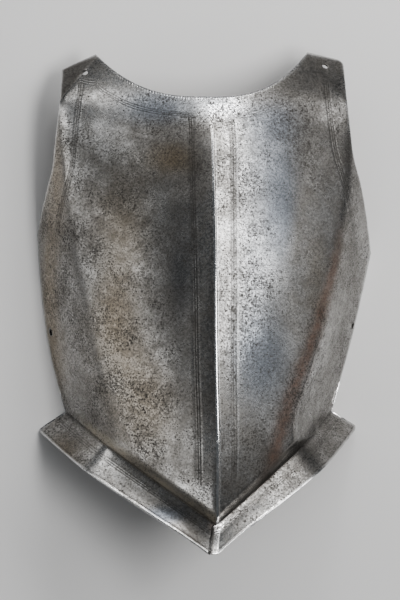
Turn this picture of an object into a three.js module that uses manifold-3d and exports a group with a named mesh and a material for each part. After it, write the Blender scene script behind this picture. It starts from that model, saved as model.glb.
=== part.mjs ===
// The breastplate of a steel cuirass: one hammered plate with a keel down its middle, side walls that
// bend round the ribs, a hollowed neck edge, shoulder tips pierced for the straps, and a waist flange
// turned out of the same sheet. It lies hollow side down on the rims of its side walls.
//
// Millimetres. +Z is up from the floor, +Y runs towards the neck, and +X is the right as it is seen from
// in front. The outer face of the plate is a height over the X, Y plane. The inner face is the outer
// face moved in by the thickness of the plate.

import * as THREE from "three";
import { mergeVertices } from "three/addons/utils/BufferGeometryUtils.js";
import Module from "manifold-3d";

const PLATE_THICKNESS = 2.2;

// The keel, from above the neck edge to below the waist: its own line, how steeply the front panel
// leaves it on both sides, and how much the panel bulges (the drop per square millimetre).
const KEEL = [
  { y: 250, x: 0, z: 38, slope: 0.03, bulgeLeft: 0.0011, bulgeRight: 0.0011 },
  { y: 186, x: 1, z: 80, slope: 0.05, bulgeLeft: 0.0012, bulgeRight: 0.0012 },
  { y: 157, x: 2, z: 97, slope: 0.14, bulgeLeft: 0.0013, bulgeRight: 0.0013 },
  { y: 116, x: 2, z: 114, slope: 0.22, bulgeLeft: 0.0014, bulgeRight: 0.0014 },
  { y: 62, x: 2, z: 131, slope: 0.3, bulgeLeft: 0.0017, bulgeRight: 0.0016 },
  { y: 0, x: 2, z: 143, slope: 0.36, bulgeLeft: 0.0021, bulgeRight: 0.0018 },
  { y: -61, x: 2, z: 149, slope: 0.4, bulgeLeft: 0.0024, bulgeRight: 0.0018 },
  { y: -114, x: 3, z: 149, slope: 0.42, bulgeLeft: 0.0026, bulgeRight: 0.0018 },
  { y: -167, x: 3.5, z: 141, slope: 0.44, bulgeLeft: 0.0028, bulgeRight: 0.002 },
  { y: -200, x: 3, z: 132, slope: 0.44, bulgeLeft: 0.0028, bulgeRight: 0.002 },
  { y: -240, x: 2, z: 118, slope: 0.44, bulgeLeft: 0.0028, bulgeRight: 0.002 },
];
const KEEL_RADIUS = 1;

// The neck edge: a hollow between the two apexes of the shoulders.
const NECK = { y: 186, power: 2.7, middleX: -2 };

// The waist fold, where the plate turns out into the flange. Its middle is the lowest point of the V.
// A short, steep waist wall climbs from it to the front panel.
const FOLD = { x: 3, y: -199.5, z: 122, slope: 0.38, softness: 30 };
const WAIST_WALL_SLOPE = 1.6;

// The flange: how far it drops below the fold and stands out from it, how steeply it flares, how the
// drop eases towards its tips, and where its point lies. The point is a blunt nose, as far as noseReach
// of each half, and the plate is split down its middle.
const FLANGE = {
  dropMiddle: 24,
  dropEase: 3,
  liftMiddle: 12,
  flare: 1.4,
  pointShift: -4,
  noseReach: 0.2,
  noseEase: 1.5,
};
const FLANGE_TIP_CUT = 2;

// The split: how wide it gapes, how far it starts and leans to the left, and how it wanders on its way.
const SPLIT = {
  width: 1.3,
  steps: 12,
  start: -3.4,
  startShare: 0.1,
  lean: -2.2,
  wander: 0.55,
  waves: 9,
  phase: 0.6,
};

// The shoulder tips bend back outside a line that lies this far inside their apex and corner.
const TIP_LINE_INSET = 3;

const STRAP_HOLE_RADIUS = 2.9;
const SIDE_HOLE_RADIUS = 3;
const HOLE_SIDES = 20;

// Each half has its own outline, because the plate was hammered and trimmed by hand.
// armEdge and sideEdge follow the rim. wall is the foot of the side wall, how steeply it rises, and how
// softly it bends into the front panel.
const LEFT = {
  sign: -1,
  apex: { x: -104, y: 229.5 },
  cornerRadius: 0,
  armEdge: [
    { y: 216, x: -135.5 },
    { y: 188, x: -137 },
    { y: 150, x: -141.3 },
    { y: 136, x: -142.9 },
    { y: 129, x: -143.4 },
    { y: 103, x: -150 },
    { y: 76, x: -156.8 },
    { y: 62, x: -159.5 },
  ],
  sideEdge: [
    { y: 62, x: -159.5 },
    { y: 36, x: -158 },
    { y: 0, x: -154.8 },
    { y: -42, x: -148.7 },
    { y: -76, x: -141 },
    { y: -105, x: -133 },
  ],
  wall: [
    { y: 250, x: -162, slope: 2.8, softness: 34 },
    { y: 150, x: -161.5, slope: 2.6, softness: 34 },
    { y: 62, x: -159.5, slope: 2.4, softness: 34 },
    { y: 36, x: -158, slope: 2.3, softness: 32 },
    { y: 0, x: -154.8, slope: 2.2, softness: 30 },
    { y: -42, x: -148.7, slope: 2.2, softness: 26 },
    { y: -76, x: -141, slope: 2.25, softness: 20 },
    { y: -105, x: -133, slope: 2.25, softness: 14 },
    { y: -160, x: -127, slope: 2.25, softness: 12 },
  ],
  waistSoftness: 8,
  foldBulge: 0.001,
  tipSpread: 26.1,
  tipDrop: 17.4,
  nose: 2.5,
  strapHole: { x: -114, y: 211 },
  sideHole: { x: -146.5, y: -30 },
  tipBend: 0.5,
};
const RIGHT = {
  sign: 1,
  apex: { x: 93.5, y: 232.5 },
  cornerRadius: 6,
  armEdge: [
    { y: 219.5, x: 128.3 },
    { y: 188, x: 128.8 },
    { y: 156, x: 132 },
    { y: 131, x: 135.3 },
    { y: 104, x: 144.2 },
    { y: 67, x: 153.8 },
    { y: 45, x: 158.7 },
  ],
  sideEdge: [
    { y: 45, x: 158.7 },
    { y: 10, x: 151 },
    { y: -39, x: 139.5 },
    { y: -67, x: 131.8 },
    { y: -105, x: 121 },
  ],
  wall: [
    { y: 250, x: 166, slope: 2.4, softness: 44 },
    { y: 150, x: 165.5, slope: 2.3, softness: 40 },
    { y: 100, x: 164, slope: 2.25, softness: 34 },
    { y: 45, x: 158.7, slope: 2.15, softness: 26 },
    { y: 10, x: 151, slope: 2.15, softness: 20 },
    { y: -39, x: 139.5, slope: 2.35, softness: 10 },
    { y: -67, x: 131.8, slope: 2.4, softness: 6 },
    { y: -105, x: 121, slope: 2.4, softness: 5 },
    { y: -160, x: 125, slope: 2.4, softness: 5 },
  ],
  waistSoftness: 4,
  foldBulge: 0.002,
  tipSpread: 25,
  tipDrop: 15.2,
  nose: 5,
  strapHole: { x: 110, y: 219 },
  sideHole: { x: 140.4, y: -24 },
  tipBend: 0.12,
};

// How finely the plate is faceted: columns from the keel to the apex and on to the rim, and rows down
// the arm edge, down the side wall, across the waist wall and across the flange.
const COLUMNS = { toApex: 18, toRim: 8 };
const ROWS = { arm: 14, side: 15, waistWall: 5, flange: 4 };
const ARM_CORNER_V = 0.5;
const WAIST_WALL_V = 0.93;

// The value of one column of a table at y, on a smooth curve through its rows.
function along(rows, y, column) {
  const last = rows.length - 1;
  const at = THREE.MathUtils.clamp(y, rows[last].y, rows[0].y);
  let i = 0;
  while (i < last - 1 && at < rows[i + 1].y) i += 1;
  const rise = (k) => (rows[k + 1][column] - rows[k][column]) / (rows[k + 1].y - rows[k].y);
  const span = (k) => rows[k].y - rows[k + 1].y;
  const tangent = (k) => {
    if (k === 0) return rise(0);
    if (k === last) return rise(last - 1);
    return (rise(k - 1) * span(k) + rise(k) * span(k - 1)) / (span(k - 1) + span(k));
  };
  const t = (rows[i].y - at) / span(i);
  const ease = t * t * (3 - 2 * t);
  const start = rows[i][column] * (1 - ease) + rows[i + 1][column] * ease;
  return start - span(i) * t * (1 - t) * ((1 - t) * tangent(i) - t * tangent(i + 1));
}

// The lower of two heights, with the corner rounded where they differ by less than the softness.
function softMin(a, b, softness) {
  const closeness = Math.max(0, 1 - Math.abs(a - b) / softness);
  return Math.min(a, b) - (softness * closeness ** 3) / 6;
}

// A distance whose corner at zero is rounded to the radius.
const softDistance = (distance, radius) => Math.hypot(distance, radius) - radius;

const halfAt = (x) => (x < FOLD.x ? LEFT : RIGHT);

// The waist fold in plan, and the height that the waist wall starts from.
const foldEnd = (half) => half.sideEdge[half.sideEdge.length - 1];

function foldY(x) {
  const end = foldEnd(halfAt(x));
  return FOLD.y + ((end.y - FOLD.y) * (x - FOLD.x)) / (end.x - FOLD.x);
}

function foldZ(x) {
  const half = halfAt(x);
  const distance = Math.abs(x - FOLD.x);
  const crown = FOLD.z - FOLD.slope * softDistance(distance, KEEL_RADIUS) - half.foldBulge * distance ** 2;
  const end = foldEnd(half);
  const wall = half.sign * (end.x - x) * along(half.wall, end.y, "slope");
  return softMin(crown, wall, FOLD.softness);
}

// How far a point lies outside the line across a shoulder tip, where the tip is bent back.
function beyondTipLine(half, x, y) {
  const apex = new THREE.Vector2(half.apex.x, half.apex.y);
  const arm = new THREE.Vector2(half.armEdge[1].x, half.armEdge[1].y);
  const across = arm.clone().sub(apex).normalize();
  const outward = new THREE.Vector2(across.y, -across.x).multiplyScalar(-half.sign);
  return new THREE.Vector2(x, y).sub(apex).dot(outward) + TIP_LINE_INSET;
}

// The height of the outer face: the front panel, cut down by the side wall and by the waist wall.
function plateZ(x, y) {
  const half = x < along(KEEL, y, "x") ? LEFT : RIGHT;
  const bulge = along(KEEL, y, half === LEFT ? "bulgeLeft" : "bulgeRight");
  const distance = softDistance(x - along(KEEL, y, "x"), KEEL_RADIUS);
  const panel = along(KEEL, y, "z") - along(KEEL, y, "slope") * distance - bulge * distance ** 2;
  const wall = half.sign * (along(half.wall, y, "x") - x) * along(half.wall, y, "slope");
  const waistWall = foldZ(x) + WAIST_WALL_SLOPE * (y - foldY(x));
  const tipDrop = half.tipBend * Math.max(0, beyondTipLine(half, x, y));
  const sides = softMin(panel, wall, along(half.wall, y, "softness")) - tipDrop;
  return Math.max(0, softMin(sides, waistWall, half.waistSoftness));
}

// The top edge in plan: the neck hollow as far as the apex, then straight to the shoulder's corner,
// which may be rounded.
function topY(half, x) {
  const { apex, cornerRadius } = half;
  const share = (x - NECK.middleX) / (apex.x - NECK.middleX);
  if (share <= 1) return NECK.y + (apex.y - NECK.y) * Math.max(0, share) ** NECK.power;
  const corner = half.armEdge[0];
  const straight = apex.y + ((corner.y + cornerRadius - apex.y) * (x - apex.x)) / (corner.x - apex.x);
  const intoCorner = Math.max(0, cornerRadius - Math.abs(corner.x - x));
  return straight - cornerRadius + Math.sqrt(cornerRadius ** 2 - intoCorner ** 2);
}

// The rim of one half in plan, from the shoulder's corner (v = 0) to the end of the waist fold (v = 1).
function rimAt(half, v) {
  const upper = v < ARM_CORNER_V;
  const edge = upper ? half.armEdge : half.sideEdge;
  const share = upper ? v / ARM_CORNER_V : (v - ARM_CORNER_V) / (1 - ARM_CORNER_V);
  const y = THREE.MathUtils.lerp(edge[0].y, edge[edge.length - 1].y, share);
  return new THREE.Vector2(along(edge, y, "x"), y);
}

// A point of the body in plan, blended from its four edges: u runs from keel to rim, v from top to fold.
function bodyPlan(half, u, v) {
  const keelAt = (share) => {
    const y = THREE.MathUtils.lerp(NECK.y, FOLD.y, share);
    return new THREE.Vector2(along(KEEL, y, "x"), y);
  };
  const topAt = (share) => {
    const x = THREE.MathUtils.lerp(KEEL[1].x, half.armEdge[0].x, share);
    return new THREE.Vector2(x, topY(half, x));
  };
  const foldAt = (share) => {
    const x = THREE.MathUtils.lerp(FOLD.x, foldEnd(half).x, share);
    return new THREE.Vector2(x, foldY(x));
  };
  const mix = (a, b, share) => a.clone().lerp(b, share);
  const downwards = mix(topAt(u), foldAt(u), v);
  const sideways = mix(keelAt(v), rimAt(half, v), u);
  const corners = mix(mix(topAt(0), foldAt(0), v), mix(topAt(1), foldAt(1), v), u);
  return downwards.add(sideways).sub(corners);
}

function bodyPoint(half, u, v) {
  const plan = bodyPlan(half, u, v);
  return new THREE.Vector3(plan.x, plan.y, plateZ(plan.x, plan.y));
}

// A point of the flange: u runs from the middle to the tip, w from the fold to the outer edge. The
// nose is cut off square, and the corner at the tip is cut back a little.
function flangePoint(half, u, w) {
  const x = THREE.MathUtils.lerp(FOLD.x, foldEnd(half).x, u);
  const spread = half.sign * half.tipSpread * u + FLANGE.pointShift * (1 - u);
  const nose = half.nose * Math.max(0, 1 - u / FLANGE.noseReach) ** FLANGE.noseEase;
  const drop = THREE.MathUtils.lerp(FLANGE.dropMiddle, half.tipDrop, u ** FLANGE.dropEase) + nose;
  const square = THREE.MathUtils.lerp(foldY(x), FOLD.y - FLANGE.dropMiddle, w);
  const lift = FLANGE.liftMiddle * Math.sqrt(1 - u * u);
  const cut = u === 1 && w === 1 ? FLANGE_TIP_CUT : 0;
  const z = plateZ(x, foldY(x)) + lift * w ** FLANGE.flare;
  return new THREE.Vector3(x + spread * w - half.sign * cut, Math.max(foldY(x) - drop * w, square), z);
}

const steps = (count, from, to) =>
  Array.from({ length: count }, (_, i) => THREE.MathUtils.lerp(from, to, (i + 1) / count));

// The outer face as a grid of points, row by row, from the left rim over the keel to the right rim.
function outerGrid() {
  const columnsOf = (half) => {
    const apexU = (half.apex.x - KEEL[1].x) / (half.armEdge[0].x - KEEL[1].x);
    return [...steps(COLUMNS.toApex, 0, apexU), ...steps(COLUMNS.toRim, apexU, 1)];
  };
  const bodyRows = [
    0,
    ...steps(ROWS.arm, 0, ARM_CORNER_V),
    ...steps(ROWS.side, ARM_CORNER_V, WAIST_WALL_V),
    ...steps(ROWS.waistWall, WAIST_WALL_V, 1),
  ];
  const rowOf = (pointOn) => [
    ...columnsOf(LEFT).reverse().map((u) => pointOn(LEFT, u)),
    pointOn(RIGHT, 0),
    ...columnsOf(RIGHT).map((u) => pointOn(RIGHT, u)),
  ];
  const body = bodyRows.map((v) => rowOf((half, u) => bodyPoint(half, u, v)));
  const flange = steps(ROWS.flange, 0, 1).map((w) => rowOf((half, u) => flangePoint(half, u, w)));
  return [...body, ...flange];
}

// The plate as a closed mesh: the outer face, the inner face and the rim between them.
function plateGeometry() {
  const grid = outerGrid();
  const rows = grid.length;
  const columns = grid[0].length;
  const at = (row, column) => row * columns + column;
  const faces = [];
  for (let row = 0; row < rows - 1; row += 1) {
    for (let column = 0; column < columns - 1; column += 1) {
      const corners = [at(row, column), at(row + 1, column), at(row + 1, column + 1), at(row, column + 1)];
      faces.push([corners[0], corners[1], corners[2]], [corners[0], corners[2], corners[3]]);
    }
  }

  const outer = grid.flat();
  const sheet = new THREE.BufferGeometry().setFromPoints(outer).setIndex(faces.flat());
  sheet.computeVertexNormals();
  const normals = sheet.getAttribute("normal");
  const inner = outer.map((point, i) => {
    const inwards = new THREE.Vector3().fromBufferAttribute(normals, i).negate();
    if (point.z === 0) inwards.setZ(0).normalize();
    const moved = point.clone().addScaledVector(inwards, PLATE_THICKNESS);
    return moved.setZ(Math.max(0, moved.z));
  });

  const rim = [];
  for (let column = 0; column < columns - 1; column += 1) rim.push(at(0, column));
  for (let row = 0; row < rows - 1; row += 1) rim.push(at(row, columns - 1));
  for (let column = columns - 1; column > 0; column -= 1) rim.push(at(rows - 1, column));
  for (let row = rows - 1; row > 0; row -= 1) rim.push(at(row, 0));
  const under = outer.length;
  const all = [...faces, ...faces.map(([a, b, c]) => [under + a, under + c, under + b])];
  rim.forEach((from, i) => {
    const to = rim[(i + 1) % rim.length];
    all.push([from, to, under + to], [from, under + to, under + from]);
  });
  return new THREE.BufferGeometry().setFromPoints([...outer, ...inner]).setIndex(all.flat());
}

// A straight drill through the plate, square to its outer face.
function drillGeometry({ x, y }, radius) {
  const reach = 1;
  const slopeX = (plateZ(x + reach, y) - plateZ(x - reach, y)) / (2 * reach);
  const slopeY = (plateZ(x, y + reach) - plateZ(x, y - reach)) / (2 * reach);
  const square = new THREE.Vector3(-slopeX, -slopeY, 1).normalize();
  const drill = new THREE.CylinderGeometry(radius, radius, 8 * PLATE_THICKNESS, HOLE_SIDES);
  drill.applyQuaternion(new THREE.Quaternion().setFromUnitVectors(new THREE.Vector3(0, 1, 0), square));
  return drill.translate(x, y, plateZ(x, y));
}

// The crack down the middle of the flange, from the fold out through the edge.
function splitGeometry() {
  const bottom = FOLD.y - FLANGE.dropMiddle - 2;
  const middles = Array.from({ length: SPLIT.steps + 1 }, (_, i) => {
    const share = i / SPLIT.steps;
    const wander = SPLIT.wander * Math.sin(SPLIT.waves * share + SPLIT.phase);
    const start = SPLIT.start * (1 - share) * THREE.MathUtils.smoothstep(share, 0, SPLIT.startShare);
    const x = FOLD.x + (FLANGE.pointShift + SPLIT.lean + wander) * share + start;
    return new THREE.Vector2(x, THREE.MathUtils.lerp(FOLD.y, bottom, share));
  });
  const side = (sign) => middles.map((p) => new THREE.Vector2(p.x + (sign * SPLIT.width) / 2, p.y));
  const outline = new THREE.Shape([...side(-1), ...side(1).reverse()]);
  const depth = FOLD.z;
  return new THREE.ExtrudeGeometry(outline, { depth, bevelEnabled: false }).translate(0, 0, depth / 2);
}

const wasm = await Module();
wasm.setup();

function solidOf(geometry) {
  const bare = new THREE.BufferGeometry();
  bare.setAttribute("position", geometry.getAttribute("position"));
  bare.setIndex(geometry.getIndex());
  const merged = mergeVertices(bare, 1e-4);
  const vertProperties = new Float32Array(merged.getAttribute("position").array);
  const triVerts = new Uint32Array(merged.getIndex().array);
  return new wasm.Manifold(new wasm.Mesh({ numProp: 3, vertProperties, triVerts }));
}

function geometryOf(solid) {
  const { vertProperties, triVerts } = solid.getMesh();
  const geometry = new THREE.BufferGeometry();
  geometry.setAttribute("position", new THREE.BufferAttribute(vertProperties, 3));
  return geometry.setIndex(new THREE.BufferAttribute(triVerts, 1));
}

const cuts = [
  drillGeometry(LEFT.strapHole, STRAP_HOLE_RADIUS),
  drillGeometry(RIGHT.strapHole, STRAP_HOLE_RADIUS),
  drillGeometry(LEFT.sideHole, SIDE_HOLE_RADIUS),
  drillGeometry(RIGHT.sideHole, SIDE_HOLE_RADIUS),
  splitGeometry(),
];
const pierced = cuts.reduce((plate, cut) => plate.subtract(solidOf(cut)), solidOf(plateGeometry()));
const breastplateGeometry = geometryOf(pierced);

// The origin is under the middle of the plate, on the floor that its rims rest on.
breastplateGeometry.computeBoundingBox();
const middle = breastplateGeometry.boundingBox.getCenter(new THREE.Vector3());
breastplateGeometry.translate(-middle.x, -middle.y, 0);
breastplateGeometry.computeVertexNormals();

const steel = new THREE.MeshStandardMaterial({ color: 0x8f8d8c, roughness: 0.38, metalness: 1 });
const breastplate = new THREE.Mesh(breastplateGeometry, steel);
breastplate.name = "breastplate";

const cuirass = new THREE.Group();
cuirass.add(breastplate);

export default cuirass;
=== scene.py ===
import math

import bmesh
import bpy
import numpy as np
from mathutils import Matrix, Vector


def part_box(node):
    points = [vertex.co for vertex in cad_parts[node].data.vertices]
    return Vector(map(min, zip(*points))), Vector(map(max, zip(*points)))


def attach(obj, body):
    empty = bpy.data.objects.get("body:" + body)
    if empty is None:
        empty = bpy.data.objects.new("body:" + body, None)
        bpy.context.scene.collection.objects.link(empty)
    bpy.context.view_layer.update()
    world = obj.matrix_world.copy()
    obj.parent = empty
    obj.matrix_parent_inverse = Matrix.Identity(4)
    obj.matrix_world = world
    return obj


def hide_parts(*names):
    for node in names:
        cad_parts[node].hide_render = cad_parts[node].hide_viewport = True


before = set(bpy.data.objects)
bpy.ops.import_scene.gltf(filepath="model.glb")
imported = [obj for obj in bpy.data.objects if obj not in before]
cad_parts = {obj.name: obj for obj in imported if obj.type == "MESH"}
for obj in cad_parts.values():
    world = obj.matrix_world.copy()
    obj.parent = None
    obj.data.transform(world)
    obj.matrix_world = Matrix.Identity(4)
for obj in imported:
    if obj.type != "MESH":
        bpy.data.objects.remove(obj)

bl_info = {
    "name": "Steel Breastplate",
    "version": (1, 0, 0),
    "blender": (4, 5, 0),
    "location": "3D View > Sidebar > Breastplate",
    "description": "Models the hammered breastplate of a cuirass and the studio it lies in",
    "category": "Object",
}

MM = 0.001
NODE = "breastplate"
CAD_LOW, CAD_HIGH = (Vector(corner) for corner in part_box(NODE))
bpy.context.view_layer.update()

# ---- The plate's own sizes in millimetres, the same as its solid's --------

# The keel from above the neck to below the waist: its line, how steeply the front panel leaves it, and
# how much each half of the panel bulges.
KEEL = np.array([
    # y, x, z, slope, bulge left, bulge right
    (250, 0, 38, 0.03, 0.0011, 0.0011),
    (186, 1, 80, 0.05, 0.0012, 0.0012),
    (157, 2, 97, 0.14, 0.0013, 0.0013),
    (116, 2, 114, 0.22, 0.0014, 0.0014),
    (62, 2, 131, 0.30, 0.0017, 0.0016),
    (0, 2, 143, 0.36, 0.0021, 0.0018),
    (-61, 2, 149, 0.40, 0.0024, 0.0018),
    (-114, 3, 149, 0.42, 0.0026, 0.0018),
    (-167, 3.5, 141, 0.44, 0.0028, 0.0020),
    (-200, 3, 132, 0.44, 0.0028, 0.0020),
    (-240, 2, 118, 0.44, 0.0028, 0.0020),
])
X, Z, SLOPE, BULGE_LEFT, BULGE_RIGHT = 1, 2, 3, 4, 5
KEEL_RADIUS = 1.0

# The neck hollow, the middle of the waist fold, and the flange below it.
NECK_Y = 186
NECK_POWER = 2.7
NECK_MIDDLE_X = -2

FOLD = {"x": 3, "y": -199.5, "z": 122, "slope": 0.38, "softness": 30}
WAIST_WALL_SLOPE = 1.6
FLANGE = {"drop_middle": 24, "lift": 12, "flare": 1.4, "point": -4, "nose_reach": 0.2}
FLANGE_TIP_RADIUS = 4.5
TIP_LINE_INSET = 3

# The rims as (y, x), from the shoulder's corner down, and the foot of each side wall with its slope.
LEFT = {
    "sign": -1,
    "apex": (-104, 229.5),
    "corner_radius": 0,
    "arm": np.array([(216, -135.5), (188, -137), (150, -141.3), (136, -142.9), (129, -143.4),
                     (103, -150), (76, -156.8), (62, -159.5)]),
    "side": np.array([(62, -159.5), (36, -158), (0, -154.8), (-42, -148.7), (-76, -141), (-105, -133)]),
    # y, x of the foot, slope, softness of the crease above it
    "wall": np.array([(250, -162, 2.8, 34), (150, -161.5, 2.6, 34), (62, -159.5, 2.4, 34),
                      (36, -158, 2.3, 32), (0, -154.8, 2.2, 30), (-42, -148.7, 2.2, 26),
                      (-76, -141, 2.25, 20), (-105, -133, 2.25, 14), (-160, -127, 2.25, 12)]),
    "waist_softness": 8,
    "fold_bulge": 0.0010,
    "tip_spread": 26.1,
    "tip_drop": 17.4,
    "nose": 2.5,
    "bulge": BULGE_LEFT,
    # share of the way to the rim, how much lower the neck's engraved band hangs than the edge itself
    "band_sag": np.array([(0.25, 0), (0.43, 0.31), (0.54, 0.61), (0.685, 0.84), (0.762, 1.25), (0.845, 0.4),
                          (0.95, 0)]),
    "strap_hole": (-114, 211),
    "side_hole": (-146.5, -30),
    "tip_bend": 0.5,
}
RIGHT = {
    "sign": 1,
    "apex": (93.5, 232.5),
    "corner_radius": 6,
    "arm": np.array([(219.5, 128.3), (188, 128.8), (156, 132), (131, 135.3), (104, 144.2), (67, 153.8),
                     (45, 158.7)]),
    "side": np.array([(45, 158.7), (10, 151), (-39, 139.5), (-67, 131.8), (-105, 121)]),
    "wall": np.array([(250, 166, 2.4, 44), (150, 165.5, 2.3, 40), (100, 164, 2.25, 34), (45, 158.7, 2.15, 26),
                      (10, 151, 2.15, 20), (-39, 139.5, 2.35, 10), (-67, 131.8, 2.4, 6), (-105, 121, 2.4, 5),
                      (-160, 125, 2.4, 5)]),
    "waist_softness": 4,
    "fold_bulge": 0.0020,
    "tip_spread": 25.0,
    "tip_drop": 15.2,
    "nose": 5.0,
    "bulge": BULGE_RIGHT,
    "band_sag": np.array([(0, 0.2), (0.3, 0.15), (0.45, 0.35), (0.6, 0.8), (0.75, 1.0), (0.9, 0.3), (1, 0)]),
    "strap_hole": (110, 219),
    "side_hole": (140.4, -24),
    "tip_bend": 0.12,
}

# Engraved bands of three fine lines each: the strips beside the keel, the bands inside the arm rims, the
# neck band as shares of the keel's length, and the flange's lines as shares of its width.
STRIP_INNER = {"top": 16.6, "waist": 13.0}
STRIP_OUTER = {"top": 21.2, "waist": 17.4}
BAND_INNER = 20.8
BAND_OUTER = 16.8
NECK_BAND = (0.0440, 0.0490, 0.0540)
FLANGE_BAND = (0.28, 0.35, 0.42, 0.90)
GROOVE_HALF_WIDTH = 0.5

# Where the arm's rim meets the side's, and where the waist wall starts, as shares of the keel's length.
ARM_CORNER = 0.5
WAIST_START = 0.93

# The finished ridge lies this far to the left of the line between the two halves, fading this far out.
RIDGE_SHIFT = {"top": 1.9, "waist": 1.0}
RIDGE_REACH = 22
# The flat rubbed along the right of the ridge, and the foot of the small step that ends it.
RUBBED_WIDTH, RUBBED_STEP = 1.9, 2.8
# The bead above the waist fold: how far above it, how wide and how high.
BEAD = {"above_fold": 2.3, "width": 0.8, "height": 0.35}
# The split: how far it starts and ends to the left, how far it leans to the right through the wall, and
# how many columns either side give way to it.
SPLIT = {"start": 3.4, "end": 2.2, "lean": 1.3, "columns": 8}

BODY_LENGTH = NECK_Y - FOLD["y"]
FLANGE_LENGTH = 26

# Columns are numbered from 0 at the keel to 1 at the rim. These numbers sit on the lines above.
STRIP_IN_COLUMN, STRIP_OUT_COLUMN, APEX_COLUMN, BAND_IN_COLUMN, BAND_OUT_COLUMN = 0.10, 0.14, 0.74, 0.87, 0.90


def from_top(line, v):
    """A line's distance at v, from its distance at the top, v = 0, and at the waist, v = 1."""
    return line["top"] + (line["waist"] - line["top"]) * v


def along(rows, y, column=1):
    """One column of a table at y, on a smooth curve through its rows."""
    ys, values = rows[::-1, 0], rows[::-1, column]
    span = np.diff(ys)
    rise = np.diff(values) / span
    between = (rise[:-1] * span[1:] + rise[1:] * span[:-1]) / (span[1:] + span[:-1])
    tangent = np.concatenate([rise[:1], between, rise[-1:]])
    y = np.clip(y, ys[0], ys[-1])
    i = np.clip(np.searchsorted(ys, y) - 1, 0, len(span) - 1)
    t = (y - ys[i]) / span[i]
    ease = t * t * (3 - 2 * t)
    bend = span[i] * t * (1 - t) * ((1 - t) * tangent[i] - t * tangent[i + 1])
    return values[i] * (1 - ease) + values[i + 1] * ease + bend


def soft_min(a, b, softness):
    """The lower of two heights, with the corner rounded where they differ by less than the softness."""
    closeness = np.maximum(0, 1 - np.abs(a - b) / softness)
    return np.minimum(a, b) - softness * closeness ** 3 / 6


def soft_distance(distance, radius):
    """The distance from a ridge, with the ridge rounded to this radius."""
    return np.hypot(distance, radius) - radius


def by_half(x, middle, left, right):
    """The left value or the right one, by the side of the middle that x is on."""
    return np.where(x < middle, left, right)


def fold_y(x):
    """Where the waist fold crosses x: a straight line from the middle to each end."""
    def line(half):
        end_y, end_x = half["side"][-1]
        return FOLD["y"] + (end_y - FOLD["y"]) * (x - FOLD["x"]) / (end_x - FOLD["x"])
    return by_half(x, FOLD["x"], line(LEFT), line(RIGHT))


def fold_z(x):
    """The height that the waist wall starts from."""
    def height(half):
        distance = np.abs(x - FOLD["x"])
        crown = FOLD["z"] - FOLD["slope"] * soft_distance(distance, KEEL_RADIUS)
        end_y, end_x = half["side"][-1]
        wall = half["sign"] * (end_x - x) * along(half["wall"], end_y, 2)
        return soft_min(crown - half["fold_bulge"] * distance ** 2, wall, FOLD["softness"])
    return by_half(x, FOLD["x"], height(LEFT), height(RIGHT))


def beyond_tip_line(half, x, y):
    """How far a point lies outside the line across a shoulder tip, where the tip is bent back."""
    apex = np.array(half["apex"], float)
    across = half["arm"][1][::-1] - apex
    across /= np.linalg.norm(across)
    outward = np.array([across[1], -across[0]]) * -half["sign"]
    return (x - apex[0]) * outward[0] + (y - apex[1]) * outward[1] + TIP_LINE_INSET


def plate_z(x, y):
    """The height of the outer face: the front panel, cut down by the side walls and the waist wall."""
    keel_x = along(KEEL, y, X)
    distance = soft_distance(x - keel_x, KEEL_RADIUS)

    def half_height(half):
        panel = along(KEEL, y, Z) - along(KEEL, y, SLOPE) * distance
        panel = panel - along(KEEL, y, half["bulge"]) * distance ** 2
        wall = half["sign"] * (along(half["wall"], y, 1) - x) * along(half["wall"], y, 2)
        drop = half["tip_bend"] * np.maximum(0, beyond_tip_line(half, x, y))
        return soft_min(panel, wall, along(half["wall"], y, 3)) - drop

    sides = by_half(x, keel_x, half_height(LEFT), half_height(RIGHT))
    waist = fold_z(x) + WAIST_WALL_SLOPE * (y - fold_y(x))
    softness = by_half(x, keel_x, LEFT["waist_softness"], RIGHT["waist_softness"])
    return np.maximum(0, soft_min(sides, waist, softness))


def top_y(half, x):
    """The top edge: the neck hollow as far as the apex, then the shoulder's straight top."""
    apex_x, apex_y = half["apex"]
    corner_y, corner_x = half["arm"][0]
    radius = half["corner_radius"]
    share = (x - NECK_MIDDLE_X) / (apex_x - NECK_MIDDLE_X)
    hollow = NECK_Y + (apex_y - NECK_Y) * np.maximum(0, share) ** NECK_POWER
    straight = apex_y + (corner_y + radius - apex_y) * (x - apex_x) / (corner_x - apex_x)
    into_corner = np.maximum(0, radius - np.abs(corner_x - x))
    rounded = straight - radius + np.sqrt(np.maximum(0, radius ** 2 - into_corner ** 2))
    return np.where(share <= 1, hollow, rounded)


def rim_at(half, v):
    """The rim in plan from the shoulder's corner, v = 0, to the end of the waist fold, v = 1."""
    arm, side = half["arm"], half["side"]
    upper = v < ARM_CORNER
    y_arm = arm[0, 0] + (arm[-1, 0] - arm[0, 0]) * v / ARM_CORNER
    y_side = side[0, 0] + (side[-1, 0] - side[0, 0]) * (v - ARM_CORNER) / (1 - ARM_CORNER)
    return np.where(upper, along(arm, y_arm), along(side, y_side)), np.where(upper, y_arm, y_side)


def keel_at(v):
    """The keel in plan from the neck, v = 0, to the waist fold, v = 1."""
    y = NECK_Y + (FOLD["y"] - NECK_Y) * v
    return along(KEEL, y, X), y


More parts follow.
